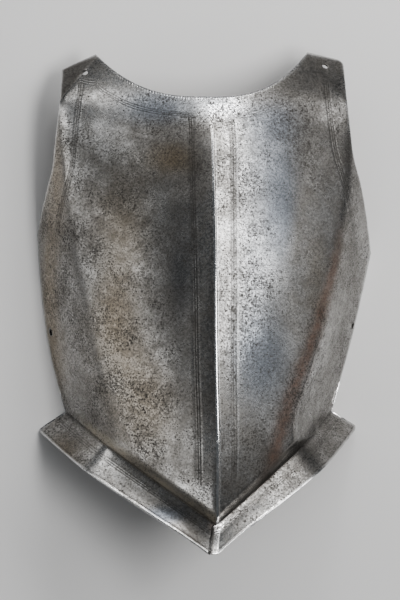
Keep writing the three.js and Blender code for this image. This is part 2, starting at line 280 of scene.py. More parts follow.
def body_plan(half, u, v):
    """A point of the body in plan, blended from its four edges."""
    corner_x = half["arm"][0, 1]
    end_y, end_x = half["side"][-1]
    start_x, start_y = keel_at(0.0)
    last_x, last_y = keel_at(1.0)
    top_x = start_x + (corner_x - start_x) * u
    bottom_x = last_x + (end_x - last_x) * u
    keel_x, keel_y = keel_at(v)
    rim_x, rim_y = rim_at(half, v)

    def blend(top, bottom, keel, rim, corners):
        a, b, c, d = corners
        flat = (1 - v) * ((1 - u) * a + u * b) + v * ((1 - u) * c + u * d)
        return (1 - v) * top + v * bottom + (1 - u) * keel + u * rim - flat

    x = blend(top_x, bottom_x, keel_x, rim_x, (start_x, corner_x, last_x, end_x))
    y = blend(top_y(half, top_x), fold_y(bottom_x), keel_y, rim_y,
              (start_y, top_y(half, corner_x), last_y, end_y))
    return x, y


def round_tip(half, u, w):
    """How far a point near the flange's outer corner is drawn in, in plan, to round the corner."""
    end_y, end_x = half["side"][-1]
    along_edge = np.array([FOLD["x"] - end_x, FOLD["y"] - end_y])
    inward = np.array([-half["sign"] * half["tip_spread"], half["tip_drop"]])
    from_end = (1 - u) * np.linalg.norm(along_edge)
    from_edge = (1 - w) * np.linalg.norm(inward)
    a = np.maximum(0, FLANGE_TIP_RADIUS - from_end)
    b = np.maximum(0, FLANGE_TIP_RADIUS - from_edge)
    draw = 1 - np.maximum(a, b) / np.maximum(1e-6, np.hypot(a, b))
    move_a, move_b = a * draw, b * draw
    along_edge /= np.linalg.norm(along_edge)
    inward /= np.linalg.norm(inward)
    return move_a * along_edge[0] + move_b * inward[0], move_a * along_edge[1] + move_b * inward[1]


def flange_point(half, u, w):
    """A point of the flange: u runs from the middle to the tip, w from the fold to the outer edge."""
    end_x = half["side"][-1, 1]
    x = FOLD["x"] + (end_x - FOLD["x"]) * u
    spread = half["sign"] * half["tip_spread"] * u + FLANGE["point"] * (1 - u)
    drop = FLANGE["drop_middle"] + (half["tip_drop"] - FLANGE["drop_middle"]) * u ** 3
    drop = drop + half["nose"] * np.maximum(0, 1 - u / FLANGE["nose_reach"]) ** 1.5
    nose_y = FOLD["y"] - FLANGE["drop_middle"]
    lift = FLANGE["lift"] * np.sqrt(np.maximum(0, 1 - u * u))
    z = plate_z(x, fold_y(x)) + lift * w ** FLANGE["flare"]
    draw_x, draw_y = round_tip(half, u, w)
    y = np.maximum(fold_y(x) - drop * w, fold_y(x) + (nose_y - fold_y(x)) * w)
    return x + spread * w + draw_x, y + draw_y, z


def column_share(half, column, v):
    """Where a column crosses row v, as a share of the way from keel to rim."""
    top_x = keel_at(0.0)[0]
    width = abs(float(rim_at(half, v)[0] - keel_at(v)[0]))
    apex_share = abs(half["apex"][0] - top_x) / abs(half["arm"][0, 1] - top_x)
    inner, outer = from_top(STRIP_INNER, v), from_top(STRIP_OUTER, v)
    knots = (0, STRIP_IN_COLUMN, STRIP_OUT_COLUMN, APEX_COLUMN, BAND_IN_COLUMN, BAND_OUT_COLUMN, 1)
    offsets = (0, inner, outer, apex_share * width, width - BAND_INNER, width - BAND_OUTER, width)
    return np.interp(column, knots, offsets) / width, width


def spaced(*stretches):
    """Numbers from stretches of (start, end, step), each end left to the stretch after it."""
    parts = [np.linspace(a, b, max(1, round((b - a) / step)), endpoint=False) for a, b, step in stretches]
    return np.concatenate([*parts, [stretches[-1][1]]])


def plate_columns(half):
    """Columns from the keel to the rim, close together where there is engraving."""
    near_keel = [(0, 0.033, 0.003), (0.033, 0.094, 0.010)]
    strip = [(0.094, 0.146, 0.0043)]
    fine = 0.0067 if half is LEFT else 0.0145
    panel = [(0.146, 0.52, 0.0144), (0.52, APEX_COLUMN, fine)]
    shoulder = [(APEX_COLUMN, 0.866, 0.0126), (0.866, 0.904, 0.0034)]
    rim = [(0.904, 0.99, 0.0078), (0.99, 1.0, 0.005)]
    return spaced(*near_keel, *strip, *panel, *shoulder, *rim)


def body_rows():
    """Rows from the neck to the waist fold."""
    neck = [(0, 0.012, 0.004), (0.012, 0.0415, 0.006)]
    band = [(0.0415, 0.0565, 0.00125)]
    arm = [(0.0565, ARM_CORNER, 0.0074)]
    side = [(ARM_CORNER, WAIST_START, 0.0073)]
    waist = [(WAIST_START, 0.988, 0.0048), (0.988, 1.0, 0.002)]
    return spaced(*neck, *band, *arm, *side, *waist)


def flange_rows():
    """Rows from below the fold to the flange's edge."""
    rows = spaced((0, 0.25, 0.04), (0.25, 0.45, 0.0167), (0.45, 0.87, 0.06), (0.87, 0.93, 0.015),
                  (0.93, 1.0, 0.035))
    return rows[1:]


def smooth_step(low, high, value):
    """0 at low and 1 at high, eased between them."""
    t = np.clip((value - low) / (high - low), 0, 1)
    return t * t * (3 - 2 * t)


def groove(distance, half_width=GROOVE_HALF_WIDTH):
    """1 in the middle of an engraved line and 0 past its sides."""
    return np.maximum(0, 1 - np.abs(distance) / half_width)


def neck_row(v, share, half):
    """Rows near the neck edge, pushed down so that the engraved band runs to the shoulder hole."""
    sag = sum(np.interp(share + off, half["band_sag"][:, 0], half["band_sag"][:, 1])
              for off in np.linspace(-0.06, 0.06, 9)) / 9
    fade = np.maximum(0, 1 - v / 0.3) ** 2
    return v * (1 + sag * fade)


class Sheet:
    """The outer face as a grid of points, with what each point needs for engraving and finish."""

    def __init__(self, thickness):
        self.rows = body_rows()
        self.flange = flange_rows()
        left, right = plate_columns(LEFT), plate_columns(RIGHT)
        self.side = np.concatenate([np.full(len(left) - 1, -1), [1], np.full(len(right) - 1, 1)])
        self.column = np.concatenate([left[:0:-1], right])
        shape = (len(self.rows) + len(self.flange), len(self.column))
        for name in ("x", "y", "z", "share", "from_keel", "from_rim", "v", "w"):
            setattr(self, name, np.zeros(shape))
        self.fill_body()
        self.fill_flange()
        self.at_right = np.broadcast_to(self.side > 0, shape)
        self.on_body = self.w == 0
        self.below_neck, self.above_fold = self.v * BODY_LENGTH, (1 - self.v) * BODY_LENGTH
        self.eased = self.eased_normals()
        self.z = np.maximum(self.z, thickness * self.eased[..., 2])

    def fill_row(self, row, picked, point, share, width, v, w=0):
        """Fills in one half of a row."""
        values = dict(zip("xyz", point), share=share, from_keel=share * width,
                      from_rim=(1 - share) * width, v=v, w=w)
        for name, value in values.items():
            getattr(self, name)[row, picked] = value

    def fill_body(self):
        for half, picked in ((LEFT, self.side < 0), (RIGHT, self.side > 0)):
            for row, v in enumerate(self.rows):
                share, width = column_share(half, self.column[picked], v)
                plan = body_plan(half, share, neck_row(v, share, half))
                self.fill_row(row, picked, plan, share, width, v)
        body = slice(0, len(self.rows))
        self.z[body] = plate_z(self.x[body], self.y[body])

    def fill_flange(self):
        for half, picked in ((LEFT, self.side < 0), (RIGHT, self.side > 0)):
            share, width = column_share(half, self.column[picked], 1.0)
            for row, w in enumerate(self.flange, len(self.rows)):
                self.fill_row(row, picked, flange_point(half, share, w), share, width, 1, w)

    def points(self):
        """The outer face's points in millimetres."""
        return np.stack([self.x, self.y, self.z], -1)

    def normals(self):
        normal = np.cross(np.gradient(self.points(), axis=0), np.gradient(self.points(), axis=1))
        return normal / np.maximum(1e-9, np.linalg.norm(normal, axis=-1, keepdims=True))

    def eased_normals(self):
        """The normals averaged across the keel and other sharp lines, so that the wall stays even."""
        normals = self.normals()
        eased = np.zeros_like(normals)
        for row in range(normals.shape[0]):
            steps = np.hypot(np.diff(self.x[row]), np.diff(self.y[row]))
            run = np.concatenate([[0], np.cumsum(steps)])
            for offset in (-6, -4, -2, 0, 2, 4, 6):
                for axis in range(3):
                    eased[row, :, axis] += np.interp(run + offset, run, normals[row, :, axis])
        return eased / np.linalg.norm(eased, axis=-1, keepdims=True)


# ---- Engraving, hammer marks, wear, stains and painted light and shade on the outer face ---

# Planishing marks, large and small.
HAMMER_MARKS = [
    # seed, how many, radius, share of the depth
    (11, 420, 19, 1.0),
    (12, 900, 7.5, 0.28),
]

# Soft dents: where, how wide and how deep, in millimetres.
DENTS = [
    # x, y, radius, depth
    (-62, 96, 17, 0.5),
    (-38, -12, 22, 0.5),
    (-92, -58, 20, 0.6),
    (44, 38, 19, 0.6),
    (84, 128, 16, 0.4),
    (58, -76, 24, 0.7),
    (100, 18, 18, 0.5),
    (-104, 44, 20, 0.4),
    (22, -150, 14, 0.4),
]

# Stains and painted light and shade, which darken or lighten the steel: where, how wide either way, how dark,
# and how brown. Some marks are real stain; others are painted shade and painted highlights, and brown below 0
# is a painted bluish reflection.
STAINS_AND_PAINTED_LIGHT = [
    # x, y, half width, half height, dark, brown
    (-33, 128, 24, 20, 0.00, 0.60),
    (-30, 30, 18, 90, 0.25, -0.25),
    (-78, 70, 36, 60, -0.05, 0.40),
    (-104, 48, 26, 40, 0.30, 0.00),
    (-60, -90, 40, 60, 0.00, 0.45),
    (-90, -20, 24, 50, 0.00, 0.40),
    (-12, 120, 12, 40, 0.30, 0.00),
    (-108, 172, 34, 26, -0.55, 0.00),
    (-40, 150, 34, 30, 0.20, 0.00),
    (-50, 176, 40, 22, 0.00, -0.45),
    # painted highlight: the bright left of the neck
    (-80, 203, 32, 12, -0.70, 0.00),
    (-140, 110, 12, 60, 0.00, 0.45),
    (-148, 0, 10, 80, -0.10, 0.50),
    (34, 60, 18, 120, -0.10, -0.10),
    (64, 80, 16, 46, 0.15, -0.32),
    (42, -52, 26, 34, 0.15, -0.32),
    (60, 130, 30, 40, 0.00, -0.20),
    (104, 140, 40, 66, 0.55, 0.00),
    (60, 166, 30, 22, 0.35, -0.25),
    (95, 20, 18, 60, 0.00, 0.40),
    (46, -10, 40, 150, 0.00, -0.20),
    (-140, -70, 14, 50, 0.00, 0.35),
    (60, -150, 40, 30, 0.10, 0.25),
    (-134, -138, 16, 12, 0.30, 0.40),
    # painted light: the lighter low left of the panel
    (-100, -146, 20, 15, -0.80, 0.00),
    (-44, -191, 24, 9, 0.55, -0.50),
    # painted shade: the dark left of the flange's point
    (-20, -213, 15, 12, 0.80, 0.20),
    (-22, -168, 20, 12, -0.40, 0.00),
    # painted highlight: the bright right of the flange's point
    (12, -210, 16, 14, -0.90, 0.00),
    (72, -168, 18, 12, 0.50, 0.00),
    (12, -122, 26, 26, -0.35, 0.00),
    (70, 125, 20, 36, 0.20, 0.00),
    (40, -188, 24, 14, -0.40, -0.05),
    (92, -140, 24, 20, 0.35, 0.00),
    # painted highlight: the bright middle of the neck
    (8, 180, 22, 16, -0.90, -0.20),
    (80, 196, 30, 20, 0.30, 0.00),
]


# The rusty crease between the right panel and its side wall.
CREASE_LINE = np.array([
    # y, x
    (-205, 24), (-150, 52), (-108, 64), (-90, 69), (-57, 83), (-29, 95), (9, 107), (34, 115), (65, 120),
])
CREASE_SPREAD = np.array([
    # y, half width
    (-205, 6), (-95, 8), (65, 5),
])


def near(distance, width, power=2):
    """1 at no distance, fading out over the width."""
    return np.exp(-(distance / width) ** power)


def soft_spot(x, y, at_x, at_y, half_width, half_height):
    """1 in the middle of a round or oval mark, fading outwards."""
    return np.exp(-(((x - at_x) / half_width) ** 2 + ((y - at_y) / half_height) ** 2))


def hammer_marks(x, y, seed, count, radius, depth):
    """Overlapping shallow hammer marks, some raised and some sunk."""
    draw = np.random.default_rng(seed)
    height = np.zeros_like(x)
    for _ in range(count):
        at_x, at_y = draw.uniform(-165, 165), draw.uniform(-235, 235)
        wide = radius * draw.uniform(0.7, 1.4)
        stretch = draw.uniform(0.75, 1.3)
        lift = depth * draw.uniform(-1, 1)
        height += lift * soft_spot(x, y, at_x, at_y, wide / stretch, wide * stretch)
    return height


def dents(x, y):
    """How far the dents lower each point, as a height below 0."""
    return -sum(depth * soft_spot(x, y, at_x, at_y, radius, radius) for at_x, at_y, radius, depth in DENTS)


def stains_and_painted_light(x, y):
    """How dark and how brown the stain marks and the painted light and shade leave each point: below 0 is
    lighter, partly painted highlight, and bluer, a painted reflection.
    """
    dark, brown = np.zeros_like(x), np.zeros_like(x)
    for *spot, darkness, brownness in STAINS_AND_PAINTED_LIGHT:
        cover = soft_spot(x, y, *spot)
        dark += darkness * cover
        brown += brownness * cover
    return dark, brown


def strip_offset(sheet, share):
    """How far from the keel a line of its strip lies, from the inner line, 0, to the outer, 1."""
    inner, outer = from_top(STRIP_INNER, sheet.v), from_top(STRIP_OUTER, sheet.v)
    return inner + (outer - inner) * share


def band_extents(sheet):
    """Where the strips and the arm bands run, from 0 to 1."""
    below_neck = smooth_step(NECK_BAND[-1] - 0.002, NECK_BAND[-1], sheet.v)
    strip = below_neck * (1 - smooth_step(0.90, 0.94, sheet.v))
    arm = below_neck * (1 - smooth_step(ARM_CORNER - 0.03, ARM_CORNER + 0.04, sheet.v))
    return strip, arm * np.where(sheet.at_right, 0.6, 1)


def engraved(sheet):
    """How deep each point lies in an engraved line, from 0 to 1."""
    strip, arm = band_extents(sheet)
    thirds = (0, 0.5, 1)
    strips = np.maximum.reduce([groove(sheet.from_keel - strip_offset(sheet, share)) for share in thirds])
    bands = np.maximum.reduce([groove(sheet.from_rim - BAND_OUTER - (BAND_INNER - BAND_OUTER) * share)
                               for share in thirds])
    necks = np.maximum.reduce([groove((sheet.v - line) * BODY_LENGTH) for line in NECK_BAND])
    past_strip = sheet.from_keel > strip_offset(sheet, 0) - GROOVE_HALF_WIDTH
    necks *= past_strip & (sheet.from_rim > BAND_INNER - 3)
    necks *= np.where(sheet.at_right, 0.7 - 0.6 * smooth_step(0.5, 0.7, sheet.share), 1)
    body = np.maximum.reduce([strips * strip, bands * arm, necks])
    flange = np.maximum.reduce([groove((sheet.w - line) * FLANGE_LENGTH) for line in FLANGE_BAND])
    return np.where(sheet.on_body, body, 0.8 * flange)


def band_tone(sheet):
    """The slightly darker ground between the lines of a strip or an arm band."""
    strip, arm = band_extents(sheet)
    in_strip = (sheet.from_keel > strip_offset(sheet, 0)) & (sheet.from_keel < strip_offset(sheet, 1))
    in_arm = (sheet.from_rim > BAND_OUTER) & (sheet.from_rim < BAND_INNER)
    return np.maximum(in_strip * strip, in_arm * arm) * sheet.on_body


def right_crease(sheet):
    """The rusty streak along the crease between the right panel and its side wall."""
    line, width = np.interp(sheet.y, *CREASE_LINE.T), np.interp(sheet.y, *CREASE_SPREAD.T)
    fade = smooth_step(-185, -130, sheet.y) * (1 - smooth_step(20, 90, sheet.y))
    return near(sheet.x - line, width) * fade * sheet.on_body


def rim_distance(sheet):
    """The distance to the nearest edge of the plate."""
    to_foot = np.where(sheet.on_body, 99, (1 - sheet.w) * FLANGE_LENGTH)
    return np.minimum.reduce([sheet.below_neck, sheet.from_rim, to_foot])


def edge_nicks(sheet, depth):
    """Nicks filed across the flange's edge, one on every other column of its left half."""
    columns = np.arange(len(sheet.column))
    nicked = ~sheet.at_right & (sheet.column > 0.5) & (sheet.column < 0.88) & (columns % 2 == 0)
    on_edge = smooth_step(0.95, 1.0, sheet.w)
    return depth * nicked * on_edge


def keel_crest(sheet):
    """The keel's crest, painted bright as a highlight on rubbed steel, and on the right a second fine painted
    highlight line past a narrow groove.
    """
    crest = smooth_step(2.0, 1.6, sheet.from_keel) + 0.6 * groove(sheet.from_keel - 3.5, 0.6)
    left = near(sheet.from_keel, 0.3)
    return np.where(sheet.at_right, crest, left) * smooth_step(0.06, 0.12, sheet.v) * sheet.on_body


def keel_relief(sheet):
    """The flat rubbed along the right of the keel, ending in a small step, in millimetres."""
    lift = 0.06 + 0.14 * smooth_step(0.08, 0.4, sheet.v) + 0.1 * smooth_step(0.5, 0.9, sheet.v)
    across = np.minimum(sheet.from_keel, RUBBED_WIDTH)
    flat = lift * across * smooth_step(RUBBED_STEP, RUBBED_WIDTH, sheet.from_keel)
    return flat * sheet.at_right * smooth_step(0.06, 0.12, sheet.v) * sheet.on_body


def shift_keel(sheet, points):
    """Moves the ridge a little to the left of the line between the two halves."""
    reach = near(sheet.from_keel, RIDGE_REACH, 4) * sheet.on_body
    points[..., 0] -= from_top(RIDGE_SHIFT, sheet.v) * (1 - smooth_step(WAIST_START, 1, sheet.v)) * reach
    return points


def waist_cove(sheet):
    """The hollow above the waist fold: how deep in it each point lies, from 0 to 1."""
    width = np.where(sheet.at_right, 4 + 9 * smooth_step(0, 0.5, sheet.share), 11)
    return near(sheet.above_fold, width, 4) * sheet.on_body * (1 - smooth_step(0.75, 0.95, sheet.share))


def finish_masks(sheet):
    """What the steel's finish needs to know at each point of the outer face."""
    # Painted shade in the concave waist fold and at the flange's root.
    fold = near(np.where(sheet.on_body, sheet.above_fold, sheet.w * FLANGE_LENGTH), 1.8)
    cove, crease = waist_cove(sheet), right_crease(sheet)
    split_top = soft_spot(sheet.x, sheet.y, FOLD["x"] - 3, FOLD["y"] - 1, 3.5, 4)
    # Painted shade along the split's lips, so that the gap reads dark.
    split_lips = near(sheet.from_keel, 1.6, 4) * (sheet.w > 0.02)
    # Painted highlight: a fine bright line just outside the right strip.
    lip = groove(sheet.from_keel - strip_offset(sheet, 1) - 1.3, 0.9) * sheet.at_right
    lip = lip * band_extents(sheet)[0]
    # Rubbed rims, with the keel's crest and the line past the right strip as painted highlights.
    worn = near(rim_distance(sheet), 1.2) + keel_crest(sheet) + 0.7 * lip
    dark, brown = stains_and_painted_light(sheet.x, sheet.y)
    # Painted shade on the bent-back left shoulder tip.
    bent_tip_shade = smooth_step(0, 2.5, beyond_tip_line(LEFT, sheet.x, sheet.y))
    bent_tip_shade = bent_tip_shade * ~sheet.at_right * (sheet.v < 0.2)
    # Painted shade in the hollow above the right of the waist fold.
    painted_cove_shade = 0.75 * cove * sheet.at_right
    # Dirt in the engraved lines, and painted shade in the fold, along the split and in the right hollow.
    grime = np.maximum.reduce([0.65 * engraved(sheet), 0.7 * fold, split_lips, painted_cove_shade])
    return {
        "grime": np.clip(grime, 0, 1),
        # Painted light: the hollow above the left of the waist fold, made tan and matt so that it reads lit.
        "silt": cove * ~sheet.at_right,
        "worn": np.clip(worn, 0, 1) * (1 - split_lips),
        "rust": np.clip(crease + split_top, 0, 1),
        "dark": dark + 0.15 * band_tone(sheet) + 0.6 * bent_tip_shade + 0.35 * crease,
        "brown": brown,
        "pitted": pitted_ground(sheet),
        "neck_rim": near(sheet.below_neck, 2.4) * sheet.on_body,
        "neck_run": neck_run(sheet),
    }


def pitted_ground(sheet):
    """Where rust has pitted the steel most: beside the keel at the right and low on the right flange."""
    flange, beside_keel = near(sheet.x - 36, 36), near(sheet.from_keel - 12, 26)
    return np.where(sheet.on_body, 0.2 * beside_keel, 0.5 * flange) * sheet.at_right


def neck_run(sheet):
    """The length along the neck edge from the left shoulder, in millimetres, carried down each column."""
    steps = np.hypot(np.diff(sheet.x[0]), np.diff(sheet.y[0]))
    return np.tile(np.concatenate([[0], np.cumsum(steps)]), (sheet.x.shape[0], 1))


def in_frame(sheet, points):
    """Points in millimetres round the sheet's own centre, in metres over the middle of the solid."""
    low = np.array([sheet.x.min(), sheet.y.min(), 0])
    high = np.array([sheet.x.max(), sheet.y.max(), 0])
    centre = (CAD_LOW + CAD_HIGH) / 2
    return (points - (low + high) / 2) * MM + np.array([centre.x, centre.y, CAD_LOW.z])


def open_split(sheet, points, width, lean=0.0):
    """Parts the two lips of the split at the flange's point and lets them wander and lean."""
    middle = int(np.argmin(sheet.column))
    w = sheet.w[:, middle][:, None]
    away = (np.arange(len(sheet.column)) - middle)[None, :]
    wander = (0.55 * np.sin(9 * w + 0.6) + 0.25 * np.sin(23 * w) - SPLIT["end"]) * w
    wander = wander - SPLIT["start"] * smooth_step(0, 0.1, w) * (1 - w)
    lip = np.sign(away) * (width / MM / 2 * (0.75 + 0.5 * w) - 0.5)
    pull = np.clip(1 - (np.abs(away) - 1) / SPLIT["columns"], 0, 1)
    points[..., 0] += np.where(w > 0, (wander + lip + lean * smooth_step(0, 0.15, w)) * pull, 0)
    return points


def laid_down(sheet, points, split_width, lean=0.0):
    """A face laid on the floor, with its ridge moved and its split opened, in metres."""
    points[..., 2] = np.maximum(points[..., 2], 0)
    return in_frame(sheet, open_split(sheet, shift_keel(sheet, points), split_width, lean))


def inner_points(sheet, sizes):
    """The hollow face in metres."""
    points = sheet.points() - sheet.eased * sizes.thickness / MM
    return laid_down(sheet, points, sizes.split_width, SPLIT["lean"])


def worked_points(sheet, sizes):
    """The outer face in metres, with its engraving, hammer marks, bead and nicks."""
    inside = smooth_step(0, 9, rim_distance(sheet))
    marks = sum(hammer_marks(sheet.x, sheet.y, seed, count, radius, share * sizes.hammer_depth / MM)
                for seed, count, radius, share in HAMMER_MARKS)
    marks += dents(sheet.x, sheet.y)
    height = marks * inside * smooth_step(3, 12, sheet.from_keel + 30 * (sheet.v < 0.12))
    height -= sizes.engraving_depth / MM * engraved(sheet)
    height += keel_relief(sheet)
    height += BEAD["height"] * near(sheet.above_fold - BEAD["above_fold"], BEAD["width"]) * sheet.on_body
    points = sheet.points() + sheet.normals() * height[..., None]
    nicks = edge_nicks(sheet, sizes.nick_depth / MM)
    points[..., 1] += nicks
    points[..., 0] += 0.5 * nicks
    return laid_down(sheet, points, sizes.split_width)


# ---- Modelling -------------------------------------------------------------

SHARP_EDGE, SMOOTH_BELOW = math.radians(48), math.radians(38)
# How many radii from a hole's middle an edge may be and still be the hole's own.
HOLE_REACH = 1.35


def only(obj):
    """Selects one object and makes it active."""
    bpy.ops.object.select_all(action="DESELECT")
    obj.select_set(True)
    bpy.context.view_layer.objects.active = obj
    return obj


def apply_modifier(obj, name, kind, **settings):
    """Adds a modifier with these settings and applies it."""
    only(obj)
    modifier = obj.modifiers.new(name, kind)
    for key, value in settings.items():
        setattr(modifier, key, value)
    if "FINISHED" not in bpy.ops.object.modifier_apply(modifier=modifier.name):
        raise RuntimeError(f"{name} could not be applied to {obj.name}")


def edit(obj, kind, picked, operation, **settings):
    """Runs one operation of edit mode on these vertices or edges."""
    mesh = only(obj).data
    for name, items in (("VERT", mesh.vertices), ("EDGE", mesh.edges), ("FACE", mesh.polygons)):
        items.foreach_set("select", picked if name == kind else np.zeros(len(items), bool))
    bpy.ops.object.mode_set(mode="EDIT")
    bpy.ops.mesh.select_mode(type=kind)
    if "FINISHED" not in operation(**settings):
        raise RuntimeError(f"{obj.name} could not be edited")
    bpy.ops.object.mode_set(mode="OBJECT")


def read_points(obj):
    """Where each point of a mesh is."""
    co = np.empty(len(obj.data.vertices) * 3)
    obj.data.vertices.foreach_get("co", co)
    return co.reshape(-1, 3)


def note(obj, name, values):
    """Keeps a number at each point of a mesh, or a place."""
    kind, key = ("FLOAT", "value") if values.ndim == 1 else ("FLOAT_VECTOR", "vector")
    obj.data.attributes.new(name, kind, "POINT").data.foreach_set(key, values.ravel())


def noted(obj, name):
    """The numbers or places kept under this name."""
    attribute = obj.data.attributes[name]
    key, width = ("value", 1) if attribute.data_type == "FLOAT" else ("vector", 3)
    values = np.empty(len(obj.data.vertices) * width)
    attribute.data.foreach_get(key, values)
    return values if width == 1 else values.reshape(-1, width)


def sheet_grid(name, sheet, points, hollow):
    """A grid primitive with its points moved to the sheet's, and their places in the hollow face noted."""
    rows, columns = points.shape[:2]
    bpy.ops.object.select_all(action="DESELECT")
    bpy.ops.mesh.primitive_grid_add(x_subdivisions=columns - 1, y_subdivisions=rows - 1, size=1)
    plate = bpy.context.object
    plate.name = plate.data.name = name
    flat = np.round(read_points(plate) * 1e5)
    order = np.lexsort((flat[:, 0], -flat[:, 1]))

    def by_vertex(values):
        """Values that go row by row, in the order of the primitive's vertices."""
        ordered = np.empty(values.shape, values.dtype)
        ordered[order] = values
        return ordered

    plate.data.vertices.foreach_set("co", by_vertex(points.reshape(-1, 3)).ravel())
    for mask, values in finish_masks(sheet).items():
        note(plate, mask, by_vertex(values.ravel()))
    note(plate, "hollow", by_vertex(hollow.reshape(-1, 3)))
    plate.data.update()
    grid_row, grid_column = np.indices((rows, columns)).reshape(2, -1)
    return plate, by_vertex(grid_row), by_vertex(grid_column)


def soften_fold(plate, sheet, grid_row):
    """Eases the sharp line between the waist and the flange."""
    fold_row = len(sheet.rows) - 1
    edit(plate, "VERT", np.abs(grid_row - fold_row) <= 1, bpy.ops.mesh.vertices_smooth, factor=0.35,
         repeat=2, wait_for_input=False)


def cut_split(plate, sheet, grid_row, grid_column):
    """Takes out the faces between the two lips of the split."""
    middle = int(np.argmin(sheet.column))
    between = (grid_row >= len(sheet.rows)) & (grid_column == middle)
    edit(plate, "VERT", between, bpy.ops.mesh.delete, type="VERT")


def thicken(plate, thickness):
    """Gives the sheet its wall, then lays the hollow face on its own points."""
    count = len(plate.data.vertices)
    apply_modifier(plate, "Wall", "SOLIDIFY", thickness=thickness, offset=-1, material_offset=1)
    note(plate, "layer", (np.arange(len(plate.data.vertices)) >= count).astype(float))
    co = read_points(plate)
    co[count:] = noted(plate, "hollow")[count:]
    plate.data.vertices.foreach_set("co", co.ravel())
    plate.data.attributes.remove(plate.data.attributes["hollow"])
    plate.data.update()


def surface_normal(x, y):
    """The way the outer face points."""
    step = 0.5
    dz_dx = (plate_z(x + step, y) - plate_z(x - step, y)) / (2 * step)
    dz_dy = (plate_z(x, y + step) - plate_z(x, y - step)) / (2 * step)
    return Vector((-float(dz_dx), -float(dz_dy), 1)).normalized()


def drill(plate, sheet, sizes):
    """The four strap holes, bored square to the plate."""
    bits = []
    for half in (LEFT, RIGHT):
        for key, radius in (("strap_hole", sizes.strap_hole_radius), ("side_hole", sizes.side_hole_radius)):
            x, y = (np.float64(value) for value in half[key])
            place = in_frame(sheet, np.array([x, y, plate_z(x, y)]))
            turn = surface_normal(x, y).to_track_quat("Z", "Y").to_euler()
            bpy.ops.object.select_all(action="DESELECT")
            bpy.ops.mesh.primitive_cylinder_add(vertices=28, radius=radius, depth=14 * MM, location=place,
                                                rotation=turn)
            bits.append((bpy.context.object, Vector(place), radius))
    bpy.ops.object.select_all(action="DESELECT")
    for bit, _, _ in bits:
        bit.select_set(True)
    cutter = bits[0][0]
    bpy.context.view_layer.objects.active = cutter
    bpy.ops.object.join()
    apply_modifier(plate, "Strap holes", "BOOLEAN", operation="DIFFERENCE", object=cutter, solver="EXACT")
    bpy.data.objects.remove(cutter)
    return [(np.array(place), radius) for _, place, radius in bits]


def edge_angles(mesh):
    """The angle between the two faces at each edge."""
    work = bmesh.new()
    work.from_mesh(mesh)
    angles = np.array([edge.calc_face_angle(0) for edge in work.edges])
    ends = np.array([[v.index for v in edge.verts] for edge in work.edges])
    work.free()
    return angles, ends


def round_edges(plate, holes, width):
    """Breaks the sharp edges of the rim and of the holes."""
    angles, ends = edge_angles(plate.data)
    rim, layer = noted(plate, "rim"), noted(plate, "layer")
    middle = read_points(plate)[ends].mean(1)
    at_hole = np.zeros(len(ends), bool)
    for place, radius in holes:
        at_hole |= np.linalg.norm(middle - place, axis=1) < radius * HOLE_REACH
    sharp = angles > SHARP_EDGE
    on_rim = (rim[ends].min(1) > 0.99) & (layer[ends[:, 0]] == layer[ends[:, 1]])
    edit(plate, "EDGE", sharp & (on_rim | at_hole), bpy.ops.mesh.bevel, offset=width, segments=2,
         clamp_overlap=False)


def mark_rim(plate):
    """Remembers which points lie on the sheet's open edge."""
    mesh = plate.data
    ends = np.empty(len(mesh.edges) * 2, int)
    mesh.edges.foreach_get("vertices", ends)
    loops = np.empty(len(mesh.loops), int)
    mesh.loops.foreach_get("edge_index", loops)
    open_edges = np.bincount(loops, minlength=len(mesh.edges)) == 1
    rim = np.zeros(len(mesh.vertices))
    rim[ends.reshape(-1, 2)[open_edges].ravel()] = 1
    note(plate, "rim", rim)


def make_breastplate(sizes, finish):
    """The plate: a worked sheet, given its wall, split, drilled and broken at its edges."""
    sheet = Sheet(sizes.thickness / MM)
    outer, hollow = worked_points(sheet, sizes), inner_points(sheet, sizes)
    plate, grid_row, grid_column = sheet_grid("Breastplate", sheet, outer, hollow)
    soften_fold(plate, sheet, grid_row)
    cut_split(plate, sheet, grid_row, grid_column)
    mark_rim(plate)
    plate.data.materials.append(outer_steel(finish))
    plate.data.materials.append(inner_steel(finish))
    thicken(plate, sizes.thickness)
    holes = drill(plate, sheet, sizes)
    round_edges(plate, holes, sizes.edge_round)
    only(plate)
    bpy.ops.object.shade_smooth_by_angle(angle=SMOOTH_BELOW)
    return plate


# ---- Steel finishes --------------------------------------------------------

def rgba(color):
    return (*tuple(color)[:3], 1.0)


